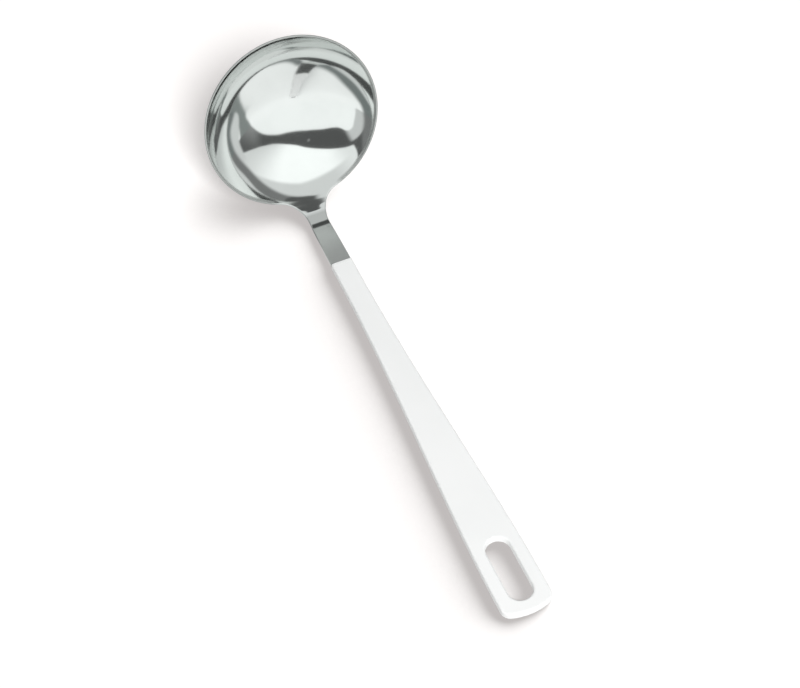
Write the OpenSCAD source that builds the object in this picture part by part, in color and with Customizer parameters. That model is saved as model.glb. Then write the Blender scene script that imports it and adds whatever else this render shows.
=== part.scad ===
/* [Bowl] */
// Outside diameter of the rim
bowl_d = 90; // [76:1:104]
// Thickness of the sheet in the bowl
bowl_t = 1; // [0.8:0.1:1.4]
// Inside radius of the dished base
base_r = 61; // [54:1:80]
// Slope at which the base turns into the wall, in degrees
base_slope = 20; // [14:1:26]
// Slope of the wall at the rim, in degrees
rim_slope = 59; // [54:1:64]

/* [Neck] */
// Angle between the plane of the rim and the handle, in degrees
handle_rise = 69; // [66:1:74]
// Height of the lowest point of the rim above the table
rim_lift = 5.6; // [5:0.1:6.4]
// Thickness of the strip that runs from the neck into the handle
strip_t = 1.8; // [1.2:0.1:2]
// Length of the two oval fillets between the rim and the neck
fillet_l = 13; // [9:0.5:14]
// Width of each fillet, along the rim
fillet_w = 9; // [6:0.5:11]
// Width of the neck where the fillets end
neck_w = 9.8; // [9:0.1:10.8]
// Distance from the rim to the first bend
first_bend = 7.5; // [6:0.5:8.5]
// Distance from the rim to the second bend
second_bend = 14.6; // [13:0.2:18]
// Radius of both bends
bend_r = 7; // [4:0.5:9]
// Height of the strip over the hollow middle of the tab that it grows out of
tab_fill = 0.1; // [0.05:0.05:0.2]

/* [Handle] */
// Distance from the rim to the mouth of the sleeve
sleeve_from = 41; // [34:1:50]
// Distance from the rim to the end of the sleeve
sleeve_to = 254.3; // [240:0.1:280]
// Thickness of the sleeve
sleeve_t = 4; // [3.6:0.1:5]
// Width of the sleeve at its mouth
mouth_w = 10.8; // [10:0.1:12]
// Width of the sleeve at its end
grip_w = 24.8; // [22:0.1:28]
// Distance from the rim to the place where the sleeve reaches its full width
flare_to = 245; // [220:1:250]
// Power that moves the flare towards the end, 1 for an even flare
flare_power = 1.15; // [1:0.05:1.4]
// Radius of the rounded corners at the end
corner_r = 5; // [4:0.5:7]
// Radius of the shallow curve across the end
end_r = 30; // [24:1:40]

/* [Hanging slot] */
// Length of the slot
slot_l = 33.6; // [28:0.1:38]
// Width of the slot
slot_w = 12; // [10:0.1:13]
// Plastic left between the slot and the end
slot_margin = 6; // [5:0.1:8]

/* [Core] */
// Plastic beside the core, along the sleeve's edges and around its slot
side_cover = 1.5; // [1.2:0.1:1.8]
// Gap between the core and the plastic around it
mould_gap = 0.1; // [0.05:0.05:0.2]
// Number of holes in the core that the plastic flows through
key_n = 3; // [1:1:4]
// Diameter of those holes
key_d = 4; // [3:0.5:4.5]
// Distance from the rim to the first of those holes
key_from = 78; // [70:1:90]
// Distance between those holes
key_pitch = 40; // [24:1:44]

/* [Hidden] */
// Smoothness of true curves
$fn = 96;
// Number of points on curves that are computed
side_n = 30;
corner_n = 6;
fillet_n = 12;
end_n = 8;
bend_n = 6;
base_n = 10;
wall_n = 20;
edge_n = 8;
// Place past the rim where the tab has the sheet's full thickness, as a share of that thickness
lap_share = 0.3;
// Overrun of every cut
over = 1;

// Slope of the tab beside the rim, below the handle's direction
tab_slope = handle_rise - rim_slope;
// Inside radius of the rim, and radii of the two inside arcs
rim_in = bowl_d/2 - bowl_t/2*(1 + sin(rim_slope));
wall_r = (rim_in - base_r*sin(base_slope))/(sin(rim_slope) - sin(base_slope));
// Centre of the wall's arc and of the base's arc, from the middle of the rim
wall_out = (base_r - wall_r)*sin(base_slope);
wall_up = wall_r*cos(rim_slope);
base_up = wall_up + (base_r - wall_r)*cos(base_slope);
// Middle of the rim, with the handle lying flat on the table
rim_x = -bowl_d/2*cos(handle_rise);
rim_z = rim_lift + bowl_d/2*sin(handle_rise);
// Height of the strip's upper face inside the handle
strip_top = (sleeve_t + strip_t)/2;
// Where the upper face of the steel leaves the rim
leave_x = rim_x + rim_in*cos(handle_rise);
leave_z = rim_z - rim_in*sin(handle_rise);
// Upper face at the first bend, and the slope from there to the second
first_z = leave_z + tab_fill - (first_bend - leave_x)*tan(tab_slope);
fall_slope = atan((first_z - strip_top)/(second_bend - first_bend));
// Length of the tab along its slope, from the rim to the first bend
tab_l = (first_bend - leave_x)/cos(tab_slope);
// Half of the angle that the tab takes of the rim
tab_half = asin((neck_w/2 + fillet_w + over)/(bowl_d/2));
// Furthest point of the bowl's back, and the middle of the whole length
back_slope = 90 - handle_rise;
wall_back = rim_x - wall_out*cos(handle_rise) + wall_up*sin(handle_rise) - wall_r - bowl_t;
base_back = rim_x + base_up*sin(handle_rise) - base_r - bowl_t;
back_x = back_slope < base_slope ? base_back : wall_back;
mid_x = (back_x + sleeve_to)/2;
// Middle of the slot, and of its two round ends
slot_x = sleeve_to - slot_margin - slot_l/2;
slot_half = (slot_l - slot_w)/2;

function clamp01(p) = max(0, min(1, p));
function ease(p) = p*p*(3 - 2*p);
function flare(x) = ease(pow(clamp01((x - sleeve_from)/(flare_to - sleeve_from)), flare_power));
function half_w(x) = (mouth_w + (grip_w - mouth_w)*flare(x))/2;
function flip(points) = [for (i = [len(points) - 1:-1:0]) [points[i][0], -points[i][1]]];

// One side of the handle's outline, drawn in by inset, up to its middle line
function grip_side(inset, from) =
    let(half = grip_w/2 - inset, r_end = end_r - inset, r_cor = corner_r - inset)
    let(x_end = sleeve_to - end_r)
    let(x_cor = x_end + sqrt(pow(r_end - r_cor, 2) - pow(half - r_cor, 2)))
    let(turn = atan2(half - r_cor, x_cor - x_end))
    concat(
        [for (i = [0:side_n]) let(x = from + (x_cor - from)*i/side_n) [x, half_w(x) - inset]],
        [for (i = [1:corner_n]) let(a = 90 + (turn - 90)*i/corner_n)
            [x_cor + r_cor*cos(a), half - r_cor + r_cor*sin(a)]],
        [for (i = [1:end_n]) let(a = turn*(1 - i/end_n)) [x_end + r_end*cos(a), r_end*sin(a)]]
    );
function grip_outline(inset, from) =
    let(side = grip_side(inset, from))
    concat(side, flip(stretch(side, 0, len(side) - 2)));

// Upper face of the strip seen from the side, from the first bend to the handle's end
function bend_points(x, z, before, after) =
    let(reach = bend_r*tan(abs(after - before)/2), turn = after > before ? 1 : -1)
    let(sx = x - reach*cos(before), sz = z + reach*sin(before))
    [for (i = [0:bend_n]) let(a = before + (after - before)*i/bend_n)
        [sx + turn*bend_r*(sin(a) - sin(before)), sz - turn*bend_r*(cos(before) - cos(a))]];
upper_line = concat(
    bend_points(first_bend, first_z, tab_slope, fall_slope),
    bend_points(second_bend, strip_top, fall_slope, 0),
    [[sleeve_to, strip_top]]
);

// Half of the bowl's section: up the inside, round the edge and down the outside
function stretch(points, from, to) = [for (i = [from:to]) points[i]];
function arc(middle, r, from, to, n) =
    [for (i = [0:n]) let(a = from + (to - from)*i/n) middle + r*[sin(a), -cos(a)]];
function bowl_side(gap) = concat(
    arc([0, base_up], base_r + gap, 0, base_slope, base_n),
    stretch(arc([wall_out, wall_up], wall_r + gap, base_slope, rim_slope, wall_n), 1, wall_n)
);
module bowl_section() {
    outside = bowl_side(bowl_t);
    edge = [rim_in + bowl_t/2*sin(rim_slope), -bowl_t/2*cos(rim_slope)];
    polygon(concat(
        bowl_side(0),
        stretch(arc(edge, bowl_t/2, rim_slope + 180, rim_slope, edge_n), 1, edge_n - 1),
        [for (i = [len(outside) - 1:-1:0]) outside[i]]
    ));
}

// Section of the tab that grows out of the rim, carries the wall on and thickens to the strip
module tab_section() {
    along = [cos(rim_slope), sin(rim_slope)];
    out = [sin(rim_slope), -cos(rim_slope)];
    root = [rim_in, 0] - bowl_t*along + bowl_t/2*out;
    start = [rim_in, 0] + lap_share*bowl_t*along;
    end = [rim_in, 0] + tab_l*along;
    polygon([root, start, end, end + strip_t*out, start + bowl_t*out]);
}

module at_rim() {
    translate([rim_x, 0, rim_z]) rotate([0, handle_rise, 0]) children();
}

// Neck seen from above, with its two fillets beside the rim
module neck_plan() {
    wide = neck_w/2 + fillet_w;
    side = concat(
        [[rim_x, wide]],
        [for (i = [0:fillet_n]) let(a = 180 + 90*i/fillet_n)
            [fillet_l + fillet_l*cos(a), wide + fillet_w*sin(a)]],
        [[sleeve_from - mould_gap, mouth_w/2]]
    );
    polygon(concat(side, flip(side)));
}

// Outline of the core inside the sleeve and of its slot, grown by gap
module core_plan(gap) {
    difference() {
        polygon(grip_outline(side_cover - gap, sleeve_from - over));
        translate([slot_x, 0]) slot_shape(slot_w/2 + side_cover - gap);
    }
}

module slot_shape(r) {
    for (side = [-1, 1]) translate([side*slot_half, 0]) circle(r);
    square([2*slot_half, 2*r], center = true);
}

module keys(d, h) {
    for (i = [0:key_n - 1]) translate([key_from + i*key_pitch, 0, sleeve_t/2])
        cylinder(d = d, h = h, center = true);
}

// Strip of even thickness below the upper line, as wide as the part, from inside the tab
module strip() {
    start = [leave_x + tab_l/2*cos(tab_slope), leave_z - tab_l/2*sin(tab_slope) - bowl_t/2];
    lower_line = [for (i = [len(upper_line) - 1:-1:0]) upper_line[i] - [0, strip_t]];
    translate([0, grip_w/2, 0]) rotate([90, 0, 0]) linear_extrude(grip_w)
        polygon(concat([start], upper_line, lower_line));
}

module steel_bowl_and_neck() {
    color("silver") {
        at_rim() rotate_extrude() bowl_section();
        intersection() {
            at_rim() rotate([0, 0, -tab_half]) rotate_extrude(angle = 2*tab_half) tab_section();
            linear_extrude(rim_z) neck_plan();
        }
        difference() {
            intersection() {
                strip();
                linear_extrude(rim_z) {
                    neck_plan();
                    core_plan(0);
                }
            }
            keys(key_d, 2*sleeve_t);
        }
    }
}

module handle_sleeve() {
    color("white") difference() {
        linear_extrude(sleeve_t) polygon(grip_outline(0, sleeve_from));
        translate([slot_x, 0, -over]) linear_extrude(sleeve_t + 2*over) slot_shape(slot_w/2);
        difference() {
            translate([0, 0, (sleeve_t - strip_t)/2 - mould_gap])
                linear_extrude(strip_t + 2*mould_gap) core_plan(mould_gap);
            keys(key_d - 2*mould_gap, 2*sleeve_t);
        }
    }
}

translate([-mid_x, 0, 0]) steel_bowl_and_neck();
translate([-mid_x, 0, 0]) handle_sleeve();
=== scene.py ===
import math

import bpy
import numpy as np
from mathutils import Matrix, Vector
from mathutils.geometry import tessellate_polygon


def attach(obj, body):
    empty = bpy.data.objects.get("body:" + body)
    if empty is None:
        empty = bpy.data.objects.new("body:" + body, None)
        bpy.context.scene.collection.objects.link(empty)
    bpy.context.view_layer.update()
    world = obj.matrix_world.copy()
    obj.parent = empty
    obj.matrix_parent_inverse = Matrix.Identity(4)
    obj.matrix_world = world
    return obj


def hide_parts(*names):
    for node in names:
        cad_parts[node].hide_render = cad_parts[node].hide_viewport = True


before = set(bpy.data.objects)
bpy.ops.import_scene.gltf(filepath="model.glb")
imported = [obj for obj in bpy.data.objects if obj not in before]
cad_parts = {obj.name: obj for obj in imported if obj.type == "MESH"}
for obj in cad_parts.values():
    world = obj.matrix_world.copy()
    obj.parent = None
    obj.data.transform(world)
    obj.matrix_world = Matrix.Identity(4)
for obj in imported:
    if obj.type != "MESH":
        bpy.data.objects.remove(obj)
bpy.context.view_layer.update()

MM = 0.001

# Sizes in millimetres, as in the CAD. X is measured from the lowest point of the rim, Z from the table.
BOWL_D = 90.0
SHEET = 1.0
BASE_R, BASE_SLOPE = 61.0, math.radians(20)
RIM_SLOPE = math.radians(59)
HANDLE_RISE = math.radians(69)
RIM_LIFT = 5.6
STRIP_T = 1.8
FIRST_BEND = 7.5
SLEEVE_FROM, SLEEVE_TO, SLEEVE_T = 41.0, 254.3, 4.0
MOUTH_W, GRIP_W = 10.8, 24.8
FLARE_TO, FLARE_POWER = 245.0, 1.15
CORNER_R, END_R = 5.0, 30.0
SLOT_L, SLOT_W, SLOT_MARGIN = 33.6, 12.0, 6.0
SIDE_COVER, MOULD_GAP = 1.5, 0.1

# Sizes that only the looks need, in the same units

# How far the rounded edge of a sheet stands out
EDGE_OUT = 0.5
# Half of the angle that the neck's root takes of the rim
NECK_PHI = math.radians(19.5)
# The curve along each fillet, seen from above: its end, and how far each of its ends pulls on it
NECK_END, NECK_PULLS = (13.5, 4.85), (8.5, 3.25)
# Half of the strip's width at the handle's mouth
STRIP_HALF_END = 5.4
# The neck's middle line: the part of X that is drawn, where the tab gets flatter, by how many degrees, and
# where the two bends lie
LINE_FROM, LINE_TO = -5, 60
TAB_TURN, TAB_EASES = (1.5, 2.5), 1
BEND_ONE, BEND_TWO = (7.2, 8.2), (11.5, 17.6)
# Between the two bends the neck falls by some angle in this range, in degrees
LEAST_FALL, MOST_FALL = 5.0, 40.0
# Where the hollow section of the neck's root gets flat
FLAT_FROM, FLAT_TO = 4.8, 8.8
# Where the rows across the neck get straight, and how far from the rim it is as thick as the strip
STRAIGHT_AT, THICK_AFTER = 5, 10
# Radii of the handle's edges, and of the corners at its mouth
TOP_EDGE, BOTTOM_EDGE, MOUTH_CORNER = 0.9, 0.5, 0.9

# Numbers of points: round the bowl, up its base and its wall, and round the edge of a sheet
COLUMNS, BASE_ROWS, WALL_ROWS, EDGE_STEPS = 240, 16, 30, 8
# Along the middle line and the curve of the fillets, and halvings of the range of the fall
LINE_POINTS, CURVE_POINTS, HALVINGS = 6501, 400, 40
# Along the neck: the places between which the rows are evenly spaced, and the points from each to the next
ROOT_POINTS = 22
NEAR_PLACES, NEAR_POINTS = (4.5, 8.1, NECK_END[0] - 0.3), (31, 16)
FAR_PLACES, FAR_POINTS = (NECK_END[0], 18, SLEEVE_FROM - MOULD_GAP), (30, 22)
# Along the handle: each arc of its end, each side, the corners of its mouth, and each end of the slot
END_STEPS, SIDE_STEPS, MOUTH_STEPS, SLOT_STEPS = 12, 60, 8, 24
# Round the handle's lower and upper edges
BOTTOM_STEPS, TOP_STEPS = 5, 7
# Half of the distances over which a slope is measured: on the neck, and along the handle's sides
NECK_PROBE, SIDE_PROBE = 0.05, 0.1

RIM_IN = BOWL_D / 2 - SHEET / 2 * (1 + math.sin(RIM_SLOPE))
WALL_R = (RIM_IN - BASE_R * math.sin(BASE_SLOPE)) / (math.sin(RIM_SLOPE) - math.sin(BASE_SLOPE))
WALL_OUT = (BASE_R - WALL_R) * math.sin(BASE_SLOPE)
WALL_UP = WALL_R * math.cos(RIM_SLOPE)
BASE_UP = WALL_UP + (BASE_R - WALL_R) * math.cos(BASE_SLOPE)
RIM_X = -BOWL_D / 2 * math.cos(HANDLE_RISE)
RIM_Z = RIM_LIFT + BOWL_D / 2 * math.sin(HANDLE_RISE)
STRIP_LOW, STRIP_TOP = (SLEEVE_T - STRIP_T) / 2, (SLEEVE_T + STRIP_T) / 2
LEAVE_X = RIM_X + RIM_IN * math.cos(HANDLE_RISE)
LEAVE_Z = RIM_Z - RIM_IN * math.sin(HANDLE_RISE)
TAB_SLOPE = math.degrees(HANDLE_RISE - RIM_SLOPE)
BACK_X = RIM_X - WALL_OUT * math.cos(HANDLE_RISE) + WALL_UP * math.sin(HANDLE_RISE) - WALL_R - SHEET
MID_X = (BACK_X + SLEEVE_TO) / 2

# The rim's own axes: towards its lowest point, across, and out of the mouth
RIM_DOWN = np.array([math.cos(HANDLE_RISE), 0, -math.sin(HANDLE_RISE)])
RIM_SIDE = np.array([0.0, 1.0, 0.0])
RIM_OUT = np.array([math.sin(HANDLE_RISE), 0, math.cos(HANDLE_RISE)])
RIM_MIDDLE = np.array([RIM_X, 0, RIM_Z])


def ease(p):
    p = np.clip(p, 0, 1)
    return p * p * (3 - 2 * p)


def unit(v):
    return v / np.linalg.norm(v, axis=-1, keepdims=True)


class Shape:
    """Points with their true normals, and faces. A face that is given a normal of its own is flat."""

    def __init__(self):
        self.points, self.normals, self.faces, self.flat = [], [], [], []

    def add(self, points, normals):
        start = len(self.points)
        self.points += [tuple(p) for p in points]
        self.normals += [tuple(n) for n in normals]
        return np.arange(start, len(self.points))

    def face(self, loop, normal=None):
        self.faces.append([int(i) for i in loop])
        self.flat.append(normal)

    def grid(self, rows, closed=False):
        rows = np.asarray(rows)
        if closed:
            rows = np.concatenate([rows, rows[:, :1]], axis=1)
        for i in range(rows.shape[0] - 1):
            for j in range(rows.shape[1] - 1):
                self.face([rows[i, j], rows[i, j + 1], rows[i + 1, j + 1], rows[i + 1, j]])

    def cap(self, loops, normal):
        """Fills a flat outline, with any holes in it."""
        flat = [i for loop in loops for i in loop]
        vectors = [[Vector(self.points[i]) for i in loop] for loop in loops]
        for tri in tessellate_polygon(vectors):
            self.face([flat[k] for k in tri], normal)

    def build(self, name):
        """Makes the mesh object, with every face turned to the side that its normals are on."""
        points, normals = np.array(self.points), np.array(self.normals)
        faces, loops = [], []
        for face, own in zip(self.faces, self.flat):
            shading = normals[face] if own is None else np.tile(own, (len(face), 1))
            corners = points[face]
            turn = np.cross(corners, np.roll(corners, -1, axis=0)).sum(axis=0)
            if turn @ shading.sum(axis=0) < 0:
                face, shading = face[::-1], shading[::-1]
            faces.append(face)
            loops += [tuple(n) for n in shading]
        mesh = bpy.data.meshes.new(name)
        mesh.from_pydata([tuple(p) for p in (points - (MID_X, 0, 0)) * MM], [], faces)
        mesh.polygons.foreach_set("use_smooth", [True] * len(mesh.polygons))
        mesh.normals_split_custom_set(loops)
        obj = bpy.data.objects.new(name, mesh)
        bpy.context.scene.collection.objects.link(obj)
        return obj


def round_edge(points, normals, thick, outward):
    """Rows of points round a sheet's edge, between its upper face and its lower one."""
    half = np.asarray(thick)[:, None] / 2
    rows = []
    for k in range(1, EDGE_STEPS):
        a = math.pi * k / EDGE_STEPS
        p = points - half * normals * (1 - math.cos(a)) + EDGE_OUT * math.sin(a) * outward
        n = unit(normals * math.cos(a) / half + outward * math.sin(a) / EDGE_OUT)
        rows.append((p, n))
    return rows


# Steel bowl, neck and core

NECK_COLUMNS = int(round(NECK_PHI / (2 * math.pi / COLUMNS)))

phis = 2 * math.pi * np.arange(COLUMNS) / COLUMNS
radial = np.outer(np.cos(phis), RIM_DOWN) + np.outer(np.sin(phis), RIM_SIDE)


def bowl_rows(gap):
    """The bowl's inner face, or the outer one at gap, as rows of (points, outward normals) from its pole."""
    base = [(0, BASE_UP, BASE_R + gap, BASE_SLOPE * i / BASE_ROWS) for i in range(1, BASE_ROWS + 1)]
    turn = RIM_SLOPE - BASE_SLOPE
    wall = [
        (WALL_OUT, WALL_UP, WALL_R + gap, BASE_SLOPE + turn * i / WALL_ROWS)
        for i in range(1, WALL_ROWS + 1)
    ]
    rows = []
    for out, up, r, a in base + wall:
        p = RIM_MIDDLE + radial * (out + r * math.sin(a)) + RIM_OUT * (up - r * math.cos(a))
        n = radial * math.sin(a) - RIM_OUT * math.cos(a)
        rows.append((p, n))
    return rows


def cone_height(x, y):
    """Height of the cone that carries the bowl's wall on past the rim."""
    c, s, m = math.cos(HANDLE_RISE), math.sin(HANDLE_RISE), 1 / math.tan(RIM_SLOPE)
    dx = x - RIM_X
    a0, b0 = RIM_IN + m * dx * s, m * c
    a, b, k = s * s - b0 * b0, -2 * (dx * c * s + a0 * b0), dx * dx * c * c + y * y - a0 * a0
    return RIM_Z + (-b - np.sqrt(b * b - 4 * a * k)) / (2 * a)


LINE_X = np.linspace(LINE_FROM, LINE_TO, LINE_POINTS)


def line_heights(fall):
    """Heights of the neck's middle line: the tab, then the given fall in degrees, then flat."""
    places = [LINE_FROM, *TAB_TURN, *BEND_ONE, *BEND_TWO, LINE_TO]
    eased = TAB_SLOPE - TAB_EASES
    slopes = [TAB_SLOPE, TAB_SLOPE, eased, eased, fall, fall, 0, 0]
    drop = np.tan(np.radians(np.interp(LINE_X, places, slopes)))
    run = np.concatenate([[0], np.cumsum((drop[1:] + drop[:-1]) / 2 * np.diff(LINE_X))])
    return LEAVE_Z - (run - np.interp(LEAVE_X, LINE_X, run))


# The fall with which the line ends at the strip's height in the handle
low_fall, high_fall = LEAST_FALL, MOST_FALL
for _ in range(HALVINGS):
    fall = (low_fall + high_fall) / 2
    if line_heights(fall)[-1] > STRIP_TOP:
        low_fall = fall
    else:
        high_fall = fall
LINE_Z = line_heights(fall)


def neck_height(x, y):
    line = np.interp(x, LINE_X, LINE_Z)
    share = 1 - ease((x - FLAT_FROM) / (FLAT_TO - FLAT_FROM))
    near = np.minimum(x, FIRST_BEND)
    return line + (cone_height(near, y) - cone_height(near, 0 * y)) * share


def neck_normals(x, y):
    d = NECK_PROBE
    zx = (neck_height(x + d, y) - neck_height(x - d, y)) / (2 * d)
    zy = (neck_height(x, y + d) - neck_height(x, y - d)) / (2 * d)
    return unit(np.stack([-zx, -zy, np.ones_like(x)], axis=-1))


def spaced(places, counts):
    """Even spacing from each place to the next, all without the first place."""
    spans = zip(places, places[1:], counts)
    return np.concatenate([np.linspace(a, b, count)[1:] for a, b, count in spans])


def neck_boundary():
    """One edge of the neck's upper face seen from above: out of the rim, then along the strip."""
    flat_r, (end_x, end_y) = RIM_IN * math.cos(HANDLE_RISE), NECK_END
    start = np.array([RIM_X + flat_r * math.cos(NECK_PHI), RIM_IN * math.sin(NECK_PHI)])
    lead = unit(np.array([math.cos(HANDLE_RISE) * math.sin(NECK_PHI), -math.cos(NECK_PHI)]))
    end = np.array([end_x, end_y - EDGE_OUT])
    slope = (STRIP_HALF_END - end_y) * math.pi / 2 / (SLEEVE_FROM - end_x)
    a, b = start + NECK_PULLS[0] * lead, end - NECK_PULLS[1] * np.array([1, slope])
    t = np.linspace(0, 1, CURVE_POINTS)[:, None]
    curve = (1 - t) ** 3 * start + 3 * (1 - t) ** 2 * t * a + 3 * (1 - t) * t * t * b + t**3 * end
    run = np.concatenate([[0], np.cumsum(np.linalg.norm(np.diff(curve, axis=0), axis=1))])
    root = np.linspace(0, np.interp(NEAR_PLACES[0], curve[:, 0], run), ROOT_POINTS)
    rest = np.interp(spaced(NEAR_PLACES, NEAR_POINTS), curve[:, 0], run)
    path = np.concatenate([root, rest, [run[-1]]])
    near = np.stack([np.interp(path, run, curve[:, 0]), np.interp(path, run, curve[:, 1])], axis=1)
    far_x = spaced(FAR_PLACES, FAR_POINTS)
    along = (far_x - end_x) / (SLEEVE_FROM - end_x)
    far_y = end_y + (STRIP_HALF_END - end_y) * np.sin(along * math.pi / 2) - EDGE_OUT
    return np.concatenate([near, np.stack([far_x, far_y], axis=1)])


steel = Shape()
inner, outer = bowl_rows(0), bowl_rows(SHEET)
inside = [steel.add(p, -n) for p, n in inner]
outside = [steel.add(p, n) for p, n in outer]
pole_in = steel.add([RIM_MIDDLE + RIM_OUT * (BASE_UP - BASE_R)], [RIM_OUT])[0]
pole_out = steel.add([RIM_MIDDLE + RIM_OUT * (BASE_UP - BASE_R - SHEET)], [-RIM_OUT])[0]
steel.grid(inside, closed=True)
steel.grid(outside, closed=True)
for j in range(COLUMNS):
    k = (j + 1) % COLUMNS
    steel.face([pole_in, inside[0][k], inside[0][j]])
    steel.face([pole_out, outside[0][j], outside[0][k]])

# The rim's edge, everywhere but at the neck
rim_points, rim_normals = inner[-1][0], -inner[-1][1]
free = np.arange(NECK_COLUMNS, COLUMNS - NECK_COLUMNS + 1)
rim_along = radial[free] * math.cos(RIM_SLOPE) + RIM_OUT * math.sin(RIM_SLOPE)
rim_edge = round_edge(rim_points[free], rim_normals[free], np.full(len(free), SHEET), rim_along)
edge_rows = [steel.add(p, n) for p, n in rim_edge]
steel.grid([inside[-1][free], *edge_rows, outside[-1][free]])

# The neck's two faces, whose first rows are the rim's own points
across = np.concatenate([np.arange(COLUMNS - NECK_COLUMNS, COLUMNS), np.arange(NECK_COLUMNS + 1)])
spread = np.sin(phis[across]) / math.sin(NECK_PHI)
rim_x = rim_points[across, 0]
boundary = neck_boundary()
root_x = boundary[0][0]
top_rows, low_rows, side_data = [inside[-1][across]], [outside[-1][across]], []
for x_edge, y_edge in boundary[1:]:
    share = 1 - ease((x_edge - root_x) / (STRAIGHT_AT - root_x))
    x = x_edge + share * (rim_x - rim_x[0])
    y = y_edge * spread
    p = np.stack([x, y, neck_height(x, y)], axis=1)
    n = neck_normals(x, y)
    thick = SHEET + (STRIP_T - SHEET) * float(ease((x_edge - root_x) / THICK_AFTER))
    top_rows.append(steel.add(p, n))
    low_rows.append(steel.add(p - thick * n, -n))
    side_data.append((p, n, thick))
steel.grid(top_rows)
steel.grid(low_rows)

# The neck's two edges, each of which starts where the rim's own edge ends
side_loops = []
for side, rim_end in ((0, -1), (-1, 0)):
    points = np.array([rim_points[across[side]]] + [p[side] for p, n, t in side_data])
    normals = np.array([rim_normals[across[side]]] + [n[side] for p, n, t in side_data])
    thick = np.array([SHEET] + [t for p, n, t in side_data])
    outward = unit(np.cross(normals, np.gradient(points, axis=0)))
    if outward[-1, 1] * points[-1, 1] < 0:
        outward = -outward
    outward[0] = rim_along[rim_end]
    outward[-1] = (0, math.copysign(1, points[-1, 1]), 0)
    rows = [steel.add(p[1:], n[1:]) for p, n in round_edge(points, normals, thick, outward)]
    columns = [np.concatenate([[edge[rim_end]], row]) for edge, row in zip(edge_rows, rows)]
    top = np.array([row[side] for row in top_rows])
    low = np.array([row[side] for row in low_rows])
    steel.grid([top, *columns, low])
    side_loops.append([column[-1] for column in columns])

end_loop = [*top_rows[-1], *side_loops[1], *low_rows[-1][::-1], *side_loops[0][::-1]]
steel.face(end_loop, (1, 0, 0))


def half_width(x):
    flare = ease(np.clip((x - SLEEVE_FROM) / (FLARE_TO - SLEEVE_FROM), 0, 1) ** FLARE_POWER)
    return (MOUTH_W + (GRIP_W - MOUTH_W) * flare) / 2


def arc(x, y, r, start, end, steps):
    """Points on an arc after its start, as (x, y, outward x, outward y)."""
    angles = [start + (end - start) * i / steps for i in range(1, steps + 1)]
    return [(x + r * math.cos(a), y + r * math.sin(a), math.cos(a), math.sin(a)) for a in angles]


def grip_outline(inset, start, corner):
    """The handle's outline drawn in by inset, anticlockwise from the middle of its end, with its normals,
    and the number of points on its first half."""
    half, r_end, r_cor = GRIP_W / 2 - inset, END_R - inset, CORNER_R - inset
    x_end = SLEEVE_TO - END_R
    x_cor = x_end + math.sqrt((r_end - r_cor) ** 2 - (half - r_cor) ** 2)
    turn = math.atan2(half - r_cor, x_cor - x_end)
    side = [(x_end + r_end, 0, 1, 0)]
    side += arc(x_end, 0, r_end, 0, turn, END_STEPS)
    side += arc(x_cor, half - r_cor, r_cor, turn, math.pi / 2, END_STEPS)
    for i in range(1, SIDE_STEPS + 1):
        x = x_cor + (start + corner - x_cor) * i / SIDE_STEPS
        rise = (half_width(x + SIDE_PROBE) - half_width(x - SIDE_PROBE)) / (2 * SIDE_PROBE)
        length = math.hypot(1, rise)
        side.append((x, half_width(x) - inset, -rise / length, 1 / length))
    if corner:
        y = half_width(start + corner) - inset - corner
        side += arc(start + corner, y, corner, math.pi / 2, math.pi, MOUTH_STEPS)
    side = np.array(side)
    mirrored = side[1:][::-1] * np.array([1, -1, 1, -1])
    whole = np.concatenate([side, mirrored])
    return whole[:, :2], whole[:, 2:], len(side)


def slot_outline(r):
    """The hanging slot, clockwise, with its normals into the hole."""
    x0, half = SLEEVE_TO - SLOT_MARGIN - SLOT_L / 2, (SLOT_L - SLOT_W) / 2
    points, normals = [], []
    for end, begin in ((1, math.pi / 2), (-1, -math.pi / 2)):
        for i in range(SLOT_STEPS + 1):
            a = begin - math.pi * i / SLOT_STEPS
            points.append((x0 + end * half + r * math.cos(a), r * math.sin(a)))
            normals.append((-math.cos(a), -math.sin(a)))
    return np.array(points), np.array(normals)


def lift(points, z):
    return np.concatenate([points, np.full((len(points), 1), float(z))], axis=1)


def plate(shape, z0, z1, inset, start):
    """Points of a flat bar that follows the handle's outline and goes round the slot."""
    outline, normals, count = grip_outline(inset, start, 0)
    hole, hole_normals = slot_outline(SLOT_W / 2 + inset)
    loops = []
    for points in (outline, hole):
        loops.append([shape.add(lift(points, z), lift(0 * points, 1)) for z in (z0, z1)])
    return loops, (normals, hole_normals), count


def walls(shape, lower, upper, normals, skip=None, turn=1):
    """Flat faces between two loops, which look along the normals, or the other way where turn is -1."""
    for i in range(len(lower)):
        j = (i + 1) % len(lower)
        if i != skip:
            n = turn * unit(normals[i] + normals[j])
            shape.face([lower[i], lower[j], upper[j], upper[i]], (n[0], n[1], 0.0))


# The core inside the handle
bar_end = SLEEVE_FROM - MOULD_GAP
(bar, ring), (bar_n, ring_n), count = plate(steel, STRIP_LOW, STRIP_TOP, SIDE_COVER, bar_end)
bar_n[count - 1] = bar_n[count] = (-1, 0)
walls(steel, bar[0], bar[1], bar_n)
walls(steel, ring[0], ring[1], ring_n)
steel.cap([bar[1], ring[1]], (0, 0, 1))
steel.cap([bar[0], ring[0]], (0, 0, -1))
steel_piece = steel.build("steel_pressing")
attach(steel_piece, "root")
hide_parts("steel_bowl_and_neck")


# White handle, moulded round the core

sleeve = Shape()
pocket = SIDE_COVER - MOULD_GAP
pocket_low, pocket_high = STRIP_LOW - MOULD_GAP, STRIP_TOP + MOULD_GAP
pocket_half = MOUTH_W / 2 - pocket

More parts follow.
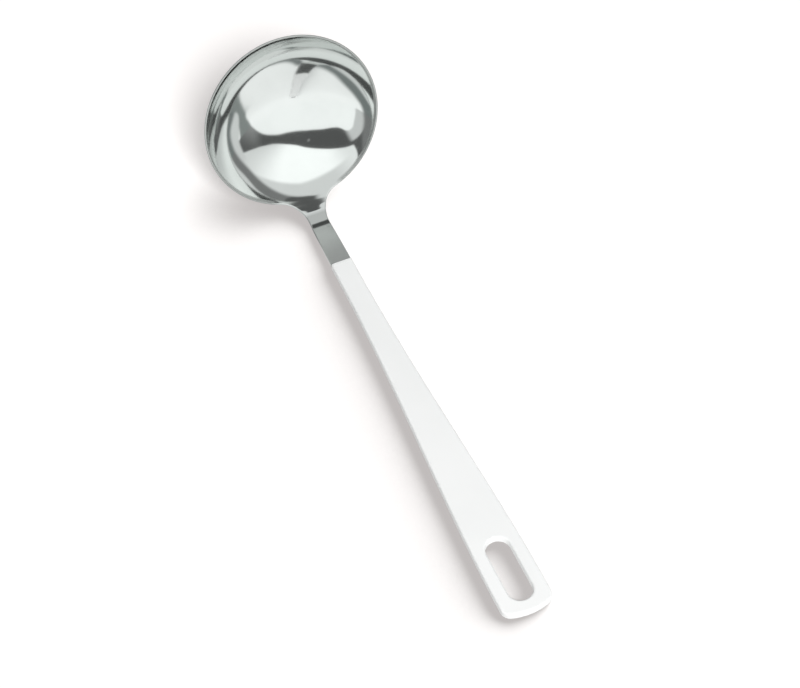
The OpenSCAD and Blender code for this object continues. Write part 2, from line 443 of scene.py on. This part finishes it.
outline, normals, count = grip_outline(0, SLEEVE_FROM, MOUTH_CORNER)
outline = np.insert(outline, count, [(SLEEVE_FROM, pocket_half), (SLEEVE_FROM, -pocket_half)], axis=0)
normals = np.insert(normals, count, [(-1, 0), (-1, 0)], axis=0)
hole, hole_normals = slot_outline(SLOT_W / 2)

# The handle's side from below to above, as (inset, height, outward and upward part of the normal)
profile = []
for i in range(BOTTOM_STEPS + 1):
    a = math.pi / 2 * i / BOTTOM_STEPS
    s, c = math.sin(a), math.cos(a)
    profile.append((BOTTOM_EDGE * (1 - s), BOTTOM_EDGE * (1 - c), s, -c))
profile += [(0, pocket_low, 1, 0), (0, pocket_high, 1, 0)]
for i in range(TOP_STEPS + 1):
    a = math.pi / 2 * (1 - i / TOP_STEPS)
    s, c = math.sin(a), math.cos(a)
    profile.append((TOP_EDGE * (1 - s), SLEEVE_T - TOP_EDGE * (1 - c), s, c))

rings = []
for points, out in ((outline, normals), (hole, hole_normals)):
    rows = []
    for inset, z, side, up in profile:
        rows.append(sleeve.add(lift(points - inset * out, z), unit(lift(side * out, up))))
    rings.append(rows)
for which, rows in enumerate(rings):
    for k in range(len(rows) - 1):
        at_pocket = which == 0 and profile[k][1] == pocket_low and profile[k + 1][1] == pocket_high
        for i in range(len(rows[k])):
            if at_pocket and i == count:
                continue
            j = (i + 1) % len(rows[k])
            sleeve.face([rows[k][i], rows[k][j], rows[k + 1][j], rows[k + 1][i]])
sleeve.cap([rings[0][-1], rings[1][-1]], (0, 0, 1))
sleeve.cap([rings[0][0], rings[1][0]], (0, 0, -1))

# The pocket that holds the core, and the plastic that goes through the core's slot
(cave, post), (cave_n, post_n), count = plate(sleeve, pocket_low, pocket_high, pocket, SLEEVE_FROM)
walls(sleeve, cave[0], cave[1], cave_n, skip=count - 1, turn=-1)
walls(sleeve, post[0], post[1], post_n, turn=-1)
sleeve.cap([cave[1], post[1]], (0, 0, -1))
sleeve.cap([cave[0], post[0]], (0, 0, 1))
sleeve_piece = sleeve.build("white_handle")
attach(sleeve_piece, "root")
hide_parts("handle_sleeve")


# Materials

# Steel: the darker and the paler of its polished tones, the strip's tone, and the painted shade of the satin
# zone
POLISH_DARK, POLISH_PALE = (0.725, 0.74, 0.73, 1), (0.755, 0.77, 0.76, 1)
STRIP_TONE, SATIN_PAINTED_SHADE_TONE = (0.54, 0.55, 0.54, 1), (0.5, 0.51, 0.5, 1)
# Where its turning lines change to rolled ones, its tone to the strip's, and its finish to the strip's
LINES_CHANGE, TONE_CHANGE, FINISH_CHANGE = (6, 8), (7.6, 9.6), (15.2, 17)
# The satin zone inside the rim, rougher and darkened by painted shade: where it starts and is full, in
# millimetres above the rim's plane, and beside the neck, in radians round the rim
SATIN_AND_SHADE_HEIGHT, SATIN_AND_SHADE_ANGLE = (-1.6, -0.6), (0.36, 0.46)
# How dense the noise is that draws the lines: across the turned ones per metre, along them per radian, and
# along X, Y and Z for the rolled ones per metre
TURNED_ACROSS, TURNED_ROUND, ROLLED_SCALE = 2600, 2.0, (60.0, 3500.0, 60.0)
# Roughness of the polish, and what its lines, the strip and the satin zone add to it
POLISH_ROUGH, LINES_ROUGH, STRIP_ROUGH, SATIN_ROUGH = 0.05, 0.05, 0.1, 0.28
# Strength of the lines' relief, what the strip adds to it, and its depth in metres
LINES_RELIEF, STRIP_RELIEF, LINES_DEPTH = 0.02, 0.25, 0.00005

# Plastic: its tones, its roughness and what the fine peel adds, and the strength and depth of the peel
PLASTIC_DARK, PLASTIC_PALE = (0.915, 0.925, 0.92, 1), (0.94, 0.948, 0.943, 1)
PLASTIC_ROUGH, PEEL_ROUGH, PEEL_RELIEF, PEEL_DEPTH = 0.27, 0.1, 0.12, 0.00004
PLASTIC_IOR = 1.49

# The part of a noise's range over which tones are mixed
CLOUD = (0.3, 0.7)


class Nodes:
    """A short way to add nodes and link them."""

    def __init__(self, tree):
        self.tree = tree
        tree.nodes.clear()

    def put(self, socket, value):
        if isinstance(value, bpy.types.NodeSocket):
            self.tree.links.new(value, socket)
        else:
            socket.default_value = value

    def add(self, kind, inputs=None, **settings):
        node = self.tree.nodes.new(kind)
        for name, value in settings.items():
            setattr(node, name, value)
        for name, value in (inputs or {}).items():
            self.put(node.inputs[name], value)
        return node

    def math(self, operation, a, b=0.0, c=0.0):
        return self.add("ShaderNodeMath", {0: a, 1: b, 2: c}, operation=operation).outputs[0]

    def vector(self, operation, a, b=(0, 0, 0)):
        return self.add("ShaderNodeVectorMath", {0: a, 1: b}, operation=operation).outputs

    def ramp(self, value, low, high, out_low=0.0, out_high=1.0):
        node = self.add(
            "ShaderNodeMapRange",
            {"Value": value, "From Min": low, "From Max": high, "To Min": out_low, "To Max": out_high},
            interpolation_type="SMOOTHSTEP",
        )
        return node.outputs["Result"]

    def noise(self, place, scale, detail, roughness):
        inputs = {"Vector": place, "Scale": scale, "Detail": detail, "Roughness": roughness}
        return self.add("ShaderNodeTexNoise", inputs).outputs["Fac"]

    def mix(self, share, a, b):
        node = self.add("ShaderNodeMix", data_type="RGBA")
        for index, value in ((0, share), (6, a), (7, b)):
            self.put(node.inputs[index], value)
        return node.outputs[2]

    def glow(self, colour, strength=1.0):
        return self.add("ShaderNodeEmission", {"Color": colour, "Strength": strength}).outputs[0]

    def blend(self, share, a, b):
        return self.add("ShaderNodeMixShader", {0: share, 1: a, 2: b}).outputs[0]

    def finish(self, kind, surface):
        self.add(kind, {"Surface": surface})


def new_material(name):
    material = bpy.data.materials.new(name)
    material.use_nodes = True
    return material, Nodes(material.node_tree)


def in_rim_axes(n, vector):
    return [n.vector("DOT_PRODUCT", vector, tuple(axis))["Value"] for axis in (RIM_DOWN, RIM_SIDE, RIM_OUT)]


def from_rim_middle(n, place):
    return n.vector("SUBTRACT", place, tuple((RIM_MIDDLE - (MID_X, 0, 0)) * MM))[0]


def steel_material():
    """Mirror polish with faint turning lines in the bowl and rolled ones along the neck, a satin zone
    inside the rim that is darkened by painted shade, and a duller strip behind the bends."""
    material, n = new_material("polished_stainless_steel")
    place = n.add("ShaderNodeTexCoord").outputs["Object"]
    a, b, h = in_rim_axes(n, from_rim_middle(n, place))
    radius = n.math("SQRT", n.math("MULTIPLY_ADD", a, a, n.math("MULTIPLY", b, b)))
    angle = n.math("ARCTAN2", b, a)
    turned = n.add("ShaderNodeCombineXYZ", {
        0: n.math("MULTIPLY", radius, TURNED_ACROSS),
        1: n.math("MULTIPLY", angle, TURNED_ROUND),
        2: n.math("MULTIPLY", h, TURNED_ACROSS),
    }).outputs[0]
    rolled = n.add("ShaderNodeMapping", {"Vector": place, "Scale": ROLLED_SCALE}).outputs[0]
    along = n.add("ShaderNodeSeparateXYZ", {0: place}).outputs[0]
    rolls, dull, strip = [
        n.ramp(along, (start - MID_X) * MM, (end - MID_X) * MM)
        for start, end in (LINES_CHANGE, TONE_CHANGE, FINISH_CHANGE)
    ]
    fine = n.noise(n.mix(rolls, turned, rolled), scale=1.0, detail=2.0, roughness=0.6)
    cloud = n.noise(place, scale=60.0, detail=3.0, roughness=0.5)
    away = n.ramp(n.math("ABSOLUTE", angle), *SATIN_AND_SHADE_ANGLE)
    # Painted shade: the satin zone darkens the steel's tone just inside the rim, as well as roughening it
    satin_and_painted_shade = n.math("MULTIPLY", n.ramp(h, SATIN_AND_SHADE_HEIGHT[0] * MM, SATIN_AND_SHADE_HEIGHT[1] * MM), away)
    base = n.mix(n.ramp(cloud, *CLOUD), POLISH_DARK, POLISH_PALE)
    base = n.mix(satin_and_painted_shade, n.mix(dull, base, STRIP_TONE), SATIN_PAINTED_SHADE_TONE)
    rough = n.math("MULTIPLY_ADD", fine, LINES_ROUGH, POLISH_ROUGH)
    rough = n.math("MULTIPLY_ADD", strip, STRIP_ROUGH, rough)
    rough = n.math("MULTIPLY_ADD", satin_and_painted_shade, SATIN_ROUGH, rough)
    strength = n.math("MULTIPLY_ADD", strip, STRIP_RELIEF, LINES_RELIEF)
    relief = {"Height": fine, "Strength": strength, "Distance": LINES_DEPTH}
    shader = n.add("ShaderNodeBsdfPrincipled", {
        "Base Color": base,
        "Roughness": rough,
        "Normal": n.add("ShaderNodeBump", relief).outputs[0],
        "Metallic": 1.0,
    })
    n.finish("ShaderNodeOutputMaterial", shader.outputs[0])
    return material


def plastic_material():
    """Moulded plastic with a soft gloss, a fine peel and a faint change of tone."""
    material, n = new_material("white_moulded_plastic")
    place = n.add("ShaderNodeTexCoord").outputs["Object"]
    cloud = n.noise(place, scale=25.0, detail=3.0, roughness=0.5)
    peel = n.noise(place, scale=900.0, detail=2.0, roughness=0.5)
    relief = {"Height": peel, "Strength": PEEL_RELIEF, "Distance": PEEL_DEPTH}
    shader = n.add("ShaderNodeBsdfPrincipled", {
        "Base Color": n.mix(n.ramp(cloud, *CLOUD), PLASTIC_DARK, PLASTIC_PALE),
        "Roughness": n.math("MULTIPLY_ADD", peel, PEEL_ROUGH, PLASTIC_ROUGH),
        "Normal": n.add("ShaderNodeBump", relief).outputs[0],
        "IOR": PLASTIC_IOR,
    })
    n.finish("ShaderNodeOutputMaterial", shader.outputs[0])
    return material


steel_piece.data.materials.append(steel_material())
sleeve_piece.data.materials.append(plastic_material())


# Floor, light and camera

# The studio that the steel mirrors has dark surroundings near the plane of the bowl's mouth, which the table
# carries as painted shade. The turn is a direction in that plane, from the neck round to +Y, and the rise is
# the angle above it, both in degrees. The dark ring lies between two rises, given as (turn, rise).
RING_LOW = [
    (-180, -9), (-120, -6), (-90, -2), (-75, 1), (-60, 6.5), (-40, 9.4), (-20, 10.4), (-6, 8.6), (13, 5),
    (25, 4), (42, 6), (60, 8), (75, 9), (90, 10), (105, 11), (120, 5), (135, 0), (150, -4), (180, -9),
]
RING_HIGH = [
    (-180, -7), (-135, -4), (-120, 6), (-105, 13), (-90, 13), (-75, 14.5), (-60, 18), (-40, 20),
    (-20, 17.2), (-6, 16), (2, 17), (6, 16.5), (9, 13), (13, 9.5), (18, 7.5), (25, 3), (34, 8), (44, 14.5),
    (60, 14), (75, 17), (90, 20.5), (103, 22.5), (115, 20.5), (125, 17.5), (135, 14), (150, 9), (165, 5),
    (180, -4),
]
RING_LOW_SOFT, RING_HIGH_SOFT = 2.0, 3.0
# A dark gap above the ring: the turn at which it starts, as (rise, turn), and its lower edge, as (turn, rise)
GAP_FROM = [
    (0, 31), (10, 34.5), (16, 37.5), (19.5, 39.5), (24, 43), (29, 47), (32, 51), (38, 56.5), (44.5, 63.5),
    (48, 67.6), (54, 75.7), (75, 100),
]
GAP_ABOVE = [
    (20, 0), (38, 0), (42.5, 6), (46, 19), (50, 23), (54, 25), (59, 26.5), (64, 28.5), (76.5, 30.5),
    (87, 28), (100, 27),
]
GAP_SOFT, GAP_ABOVE_SOFT, GAP_ENDS = 1.5, 2.0, (98, 94)
# The dim parts: all below the ring, and a side part from one turn to another and up to some rise
DIM_SOFT, DIM_STARTS, DIM_ENDS, DIM_TOP = 1.5, (38, 46), (100, 92), (31, 27)
# Keeps a root away from zero
TINY = 1e-9
TO_DEGREES = 180 / math.pi


def curve_of(n, value, low, high, points):
    """A smooth curve through (value, result) points, both in the range from low to high."""
    span = high - low
    inside = n.math("MULTIPLY_ADD", value, 1 / span, -low / span)
    curve = n.add("ShaderNodeFloatCurve", {"Value": inside})
    line = curve.mapping.curves[0]
    for k, (a, v) in enumerate(points):
        place = ((a - low) / span, (v - low) / span)
        if k < 2:
            line.points[k].location = place
        else:
            line.points.new(*place)
    curve.mapping.update()
    return n.math("MULTIPLY_ADD", curve.outputs[0], span, low)


def turn_and_rise(n, a, b, h, reach):
    """Turn and rise of (a, b, h) in the rim's axes, seen from a point that lies back by reach."""
    radius = n.math("SQRT", n.math("MULTIPLY_ADD", a, a, n.math("MULTIPLY_ADD", b, b, TINY)))
    rise = n.math("MULTIPLY", n.math("ARCTAN2", h, n.math("ADD", radius, reach)), TO_DEGREES)
    turn = n.math("MULTIPLY", n.math("ARCTAN2", b, a), TO_DEGREES)
    return turn, rise


def dim_and_ring(n, turn, rise):
    """Shares of the dim parts and of the dark ring: dark surroundings in the world, painted shade on the
    table.
    """
    low = curve_of(n, turn, -180, 180, RING_LOW)
    high = curve_of(n, turn, -180, 180, RING_HIGH)
    over_low = n.ramp(n.math("SUBTRACT", rise, low), -RING_LOW_SOFT, RING_LOW_SOFT)
    under_high = n.ramp(n.math("SUBTRACT", high, rise), -RING_HIGH_SOFT, RING_HIGH_SOFT)
    under = n.ramp(n.math("SUBTRACT", low, rise), -DIM_SOFT, DIM_SOFT)
    side = n.math("MULTIPLY", n.ramp(turn, *DIM_STARTS), n.ramp(turn, *DIM_ENDS))
    side = n.math("MULTIPLY", side, n.ramp(rise, *DIM_TOP))
    return n.math("MAXIMUM", under, side), n.math("MULTIPLY", over_low, under_high)


def dark_gap(n, turn, rise):
    """Share of the dark gap above the ring."""
    past = n.math("SUBTRACT", turn, curve_of(n, rise, 0, 180, GAP_FROM))
    over = n.math("SUBTRACT", rise, curve_of(n, turn, 0, 180, GAP_ABOVE))
    gap = n.math("MULTIPLY", n.ramp(past, -GAP_SOFT, GAP_SOFT), n.ramp(over, -GAP_SOFT, GAP_ABOVE_SOFT))
    return n.math("MULTIPLY", gap, n.ramp(turn, *GAP_ENDS))


# The table's radius in metres, and the points round its edge
FLOOR_R, FLOOR_POINTS = 1.6, 128
TABLE_COLOUR = (0.8, 0.79, 0.785, 1)
# The painted soft shadow, a grey glow where ambient occlusion towards a low side finds the ladle: that side's
# direction, how far off a thing still hides it, and the number of rays that look for one. Then the shares of
# unhidden rays at which the painted shadow starts and is full
PAINTED_SHADOW_SIDE, PAINTED_SHADOW_REACH, PAINTED_SHADOW_RAYS = (-0.22, 0.94, 0.25), 42 * MM, 48
SHADOW_FROM, SHADOW_TO = 0.985, 0.63
SHADOW_COLOUR = (0.53, 0.505, 0.498, 1)
# The table's own glow, which makes it white: its colour, its strength near the ladle and far off, the
# distances between which it changes, and its change per metre along the ladle
GLOW_COLOUR = (1.0, 0.95, 0.935, 1)
GLOW_NEAR, GLOW_FAR, GLOW_CHANGE, GLOW_SLOPE = 0.315, 1.0, (0.36, 1.0), -0.36
# The table as the steel mirrors it, a glow with painted shade: near the rim and further off, with the
# distances between which it changes, and under the painted dim parts, the painted soft shadow, the painted
# dark ring and the painted dark gap
MIRRORED_NEAR, MIRRORED_FAR = (1.03, 1.055, 1.045, 1), (1.15, 1.18, 1.17, 1)
MIRRORED_CHANGE = (0.09, 0.3)
MIRRORED_PAINTED_DIM_SHADE, MIRRORED_PAINTED_RING_SHADE = (0.75, 0.78, 0.77, 1), (0.21, 0.235, 0.23, 1)
MIRRORED_PAINTED_GAP_SHADE = (0.27, 0.3, 0.29, 1)
MIRRORED_SHADOW, MIRRORED_SHADOW_SHARE = (0.25, 0.26, 0.26, 1), 0.3
# The point from which turn and rise are measured for the table: below the rim's plane, and back from it
EYE_BELOW, EYE_BACK = 8 * MM, 35 * MM


def floor_material():
    """A white table with a painted soft shadow beside the ladle, a grey glow where ambient occlusion towards
    a low side finds the ladle. What the steel mirrors of it is a glow with painted shade.
    """
    material, n = new_material("pale_floor")
    path = n.add("ShaderNodeLightPath")
    diffuse = n.add("ShaderNodeBsdfDiffuse", {"Color": TABLE_COLOUR}).outputs[0]
    place = n.add("ShaderNodeNewGeometry").outputs["Position"]
    painted_shadow_side = n.add("ShaderNodeCombineXYZ", dict(enumerate(PAINTED_SHADOW_SIDE))).outputs[0]
    hidden = n.add(
        "ShaderNodeAmbientOcclusion",
        {"Distance": PAINTED_SHADOW_REACH, "Normal": painted_shadow_side},
        samples=PAINTED_SHADOW_RAYS,
    )
    shadow = n.ramp(hidden.outputs["AO"], SHADOW_FROM, SHADOW_TO)

    from_rim = from_rim_middle(n, place)
    a, b, h = in_rim_axes(n, from_rim)
    turn, rise = turn_and_rise(n, a, b, n.math("ADD", h, EYE_BELOW), EYE_BACK)
    dim, ring = dim_and_ring(n, turn, rise)
    distance = n.vector("LENGTH", from_rim)["Value"]
    # Painted shade that the steel mirrors on the table: a dim part, a share of the painted shadow, a dark
    # ring and a dark gap
    shade = n.mix(n.ramp(distance, *MIRRORED_CHANGE), MIRRORED_NEAR, MIRRORED_FAR)
    shade = n.mix(dim, shade, MIRRORED_PAINTED_DIM_SHADE)
    shade = n.mix(n.math("MULTIPLY", shadow, MIRRORED_SHADOW_SHARE), shade, MIRRORED_SHADOW)
    shade = n.mix(ring, shade, MIRRORED_PAINTED_RING_SHADE)
    shade = n.mix(dark_gap(n, turn, rise), shade, MIRRORED_PAINTED_GAP_SHADE)

    strength = n.ramp(n.vector("LENGTH", place)["Value"], *GLOW_CHANGE, GLOW_NEAR, GLOW_FAR)
    along = n.add("ShaderNodeSeparateXYZ", {0: place}).outputs[0]
    white = n.glow(GLOW_COLOUR, n.math("MULTIPLY_ADD", along, GLOW_SLOPE, strength))
    lit = n.add("ShaderNodeAddShader", {0: diffuse, 1: white}).outputs[0]
    # Painted shadow: near the ladle the table glows grey instead of white
    seen = n.blend(shadow, lit, n.glow(SHADOW_COLOUR))
    matt = n.blend(path.outputs["Is Camera Ray"], diffuse, seen)
    n.finish("ShaderNodeOutputMaterial", n.blend(path.outputs["Is Glossy Ray"], matt, n.glow(shade)))
    return material


bpy.ops.mesh.primitive_circle_add(
    vertices=FLOOR_POINTS, radius=FLOOR_R, fill_type="NGON", location=(0, 0, 0),
)
floor = bpy.context.object
floor.name = "floor"
floor.data.materials.append(floor_material())


# The studio above the table is laid out on a map of the sky, in degrees from the point overhead: X to the
# right and Y up. BOX_LOW runs across the map and is given as (X, Y). The other edges run up the map and are
# given as (Y, X), and LEFT as (Y, -X). Each comes with the angle over which it is soft.
BOX_RIGHT = [
    (-60, 8), (-48, 15), (-38, 22), (-22, 33), (-5, 44), (8, 52.3), (27, 57.2), (41, 55), (58, 46.8),
    (73, 36), (90, 20),
]
BOX_LOW = [(-30, -44), (-12, -48), (-3, -53.6), (8, -55.6), (17, -54.5), (40, -50)]
BOARD = [
    (-90, 45), (-80, 36), (-72, 31), (-63, 27.5), (-47, 44), (-27, 55), (-8, 63.3), (8, 66), (27, 65.5),
    (47, 67.4), (72, 80),
]
WALL = [(-95, 13), (-80, 11), (-70, 11.5), (-60, 14), (-53, 18), (-40, 40)]
LEFT = [
    (-60, 30), (-30, 24), (-14, 21), (-2, 19.6), (2, 18.4), (6, 17), (10, 15.4), (14, 14.3), (18, 13.8),
    (22, 13), (30, 11.8), (40, 20), (60, 40),
]
BOX_RIGHT_SOFT, BOX_LOW_SOFT, BOARD_SOFT, WALL_SOFT, LEFT_SOFT = 0.8, 1.0, 1.0, 1.5, 1.5
# The tint of all its greys
TINT = (0.97, 1.0, 0.99)
# The softbox overhead: its tone left of its inner edge, right of it, right of it where it fades, and low down
BOX_TONE, BOX_TONE_RIGHT, BOX_TONE_FADED, BOX_TONE_LOW = 0.83, 1.29, 0.84, 1.02
# Its inner edge leans to the right above some Y, and is soft from one X to another
LEAN_FROM, LEAN, INNER_EDGE = 14.0, 0.27, (1.0, 7.0)
# The turns between which it fades, each with a soft start and end, and the Y at which it gets its low tone
FADE_STARTS, FADE_ENDS, LOW_CHANGE = (20, 60), (145, 92), (-20, -50)
# Tones below the box on both sides of the wall's edge, and of the board and of the left part
BELOW_TONES, BOARD_TONE, LEFT_TONES = (0.12, 0.72), 1.17, (0.11, 0.62)
# Tones of the dark band beyond the box: its lower part, and its upper part's near and far end
BAND_TONE, BAND_NEAR, BAND_FAR = 0.11, 0.13, 0.38
# Where those tones change: at the band's foot, up the band, to its far end, and in the left part
FOOT_CHANGE, BAND_CHANGE, FAR_CHANGE, LEFT_CHANGE = (-52, -60), (40, 56), (42, 82), (-28, -36)
# Tones of the dim parts and of the dark ring
DIM_TONE, RING_TONE = 0.76, 0.23
# A small lamp in the dark band: its place, the radii of its soft edge, and its tone
LAMP_AT, LAMP_EDGE, LAMP_TONE = (51.0, -9.6), (2.2, 0.8), 0.32
# What matt surfaces see instead: a dome with this tone at its foot, and this much more overhead
DOME_FOOT, DOME_MORE = 0.06, 0.3
# How far the map reaches each way
MAP_SIDE = 120


def make_world():
    """White to the camera, an even dome to matt surfaces, and a photographer's studio to shiny ones."""
    world = bpy.data.worlds.new("studio")
    bpy.context.scene.world = world
    world.use_nodes = True
    n = Nodes(world.node_tree)
    path = n.add("ShaderNodeLightPath")
    direction = n.add("ShaderNodeTexCoord").outputs["Generated"]
    x, y, z = n.add("ShaderNodeSeparateXYZ", {0: direction}).outputs
    level = n.math("SQRT", n.math("MULTIPLY_ADD", x, x, n.math("MULTIPLY_ADD", y, y, TINY)))
    tilt = n.math("MULTIPLY", n.math("ARCCOSINE", z), TO_DEGREES)
    map_x = n.math("MULTIPLY", n.math("DIVIDE", x, level), tilt)
    map_y = n.math("MULTIPLY", n.math("DIVIDE", y, level), tilt)

    def beyond(value, along, points, soft):
        """1 where the value lies past a curved edge, which is given as (along, value) points."""
        edge = curve_of(n, along, -MAP_SIDE, MAP_SIDE, points)
        return n.ramp(n.math("SUBTRACT", value, edge), -soft, soft)

    def grey(tone):
        return (*[tone * part for part in TINT], 1)

    def two_greys(share, tone, other):
        return n.mix(share, grey(tone), grey(other))

    turn, rise = turn_and_rise(n, *in_rim_axes(n, direction), 0.0)
    dim, ring = dim_and_ring(n, turn, rise)
    faded = n.math("MULTIPLY", n.ramp(turn, *FADE_ENDS), n.ramp(turn, *FADE_STARTS))
    over = n.math("MAXIMUM", n.math("SUBTRACT", map_y, LEAN_FROM), 0.0)
    past_edge = n.math("SUBTRACT", map_x, n.math("MULTIPLY", over, LEAN))
    right_tone = two_greys(faded, BOX_TONE_RIGHT, BOX_TONE_FADED)
    box = n.mix(n.ramp(past_edge, *INNER_EDGE), grey(BOX_TONE), right_tone)
    box = n.mix(n.ramp(map_y, *LOW_CHANGE), box, grey(BOX_TONE_LOW))
    below = two_greys(beyond(map_x, map_y, WALL, WALL_SOFT), *BELOW_TONES)
    glossy = n.mix(beyond(map_y, map_x, BOX_LOW, BOX_LOW_SOFT), below, box)
    upper_band = two_greys(n.ramp(map_x, *FAR_CHANGE), BAND_NEAR, BAND_FAR)
    band = n.mix(n.ramp(map_y, *BAND_CHANGE), grey(BAND_TONE), upper_band)
    band = n.mix(n.ramp(map_y, *FOOT_CHANGE), band, below)
    glossy = n.mix(beyond(map_x, map_y, BOX_RIGHT, BOX_RIGHT_SOFT), glossy, band)
    glossy = n.mix(beyond(map_x, map_y, BOARD, BOARD_SOFT), glossy, grey(BOARD_TONE))
    glossy = n.mix(dim, glossy, grey(DIM_TONE))
    glossy = n.mix(ring, glossy, grey(RING_TONE))
    left = beyond(n.math("MULTIPLY", map_x, -1.0), map_y, LEFT, LEFT_SOFT)
    glossy = n.mix(left, glossy, two_greys(n.ramp(map_x, *LEFT_CHANGE), *LEFT_TONES))
    lamp_x, lamp_y = [n.math("SUBTRACT", at, middle) for at, middle in zip((map_x, map_y), LAMP_AT)]
    lamp_off = n.math("SQRT", n.math("MULTIPLY_ADD", lamp_x, lamp_x, n.math("MULTIPLY", lamp_y, lamp_y)))
    glossy = n.mix(n.ramp(lamp_off, *LAMP_EDGE), glossy, grey(LAMP_TONE))

    seen = n.mix(path.outputs["Is Camera Ray"], glossy, (1, 1, 1, 1))
    even = n.math("MULTIPLY_ADD", n.math("MAXIMUM", z, 0.0), DOME_MORE, DOME_FOOT)
    even = n.add("ShaderNodeCombineXYZ", {0: even, 1: even, 2: even}).outputs[0]
    dome = n.mix(path.outputs["Is Diffuse Ray"], seen, even)
    back = n.add("ShaderNodeBackground", {"Color": dome, "Strength": 1.0}).outputs[0]
    n.finish("ShaderNodeOutputWorld", back)


make_world()

# One round lamp beside the camera, which shiny surfaces don't see: its place, its width and its power
KEY_AT, KEY_D, KEY_POWER = Vector((1.418, -0.171, 1.711)), 0.58, 43.5
key_data = bpy.data.lights.new("key", "AREA")
key_data.shape = "DISK"
key_data.size = KEY_D
key_data.energy = KEY_POWER
key = bpy.data.objects.new("key", key_data)
bpy.context.scene.collection.objects.link(key)
key.location = KEY_AT
key.rotation_euler = (-KEY_AT).to_track_quat("-Z", "Y").to_euler()
key.visible_glossy = False

# The camera as it was fitted to the photograph: its lens in millimetres, and its axes and place in metres
SENSOR_W, LENS = 36, 92.44
CLIP_FROM, CLIP_TO = 0.01, 20
CAMERA_AT = Matrix((
    (0.40591, -0.73759, 0.53963, 0.5232),
    (0.91384, 0.33497, -0.22953, -0.2195),
    (-0.01146, 0.58630, 0.81001, 0.7988),
    (0, 0, 0, 1),
))
camera_data = bpy.data.cameras.new("camera")
camera_data.sensor_width = SENSOR_W
camera_data.lens = LENS
camera_data.clip_start, camera_data.clip_end = CLIP_FROM, CLIP_TO
camera = bpy.data.objects.new("camera", camera_data)
bpy.context.scene.collection.objects.link(camera)
camera.matrix_world = CAMERA_AT
bpy.context.scene.camera = camera
bpy.context.scene.view_settings.view_transform = "Standard"
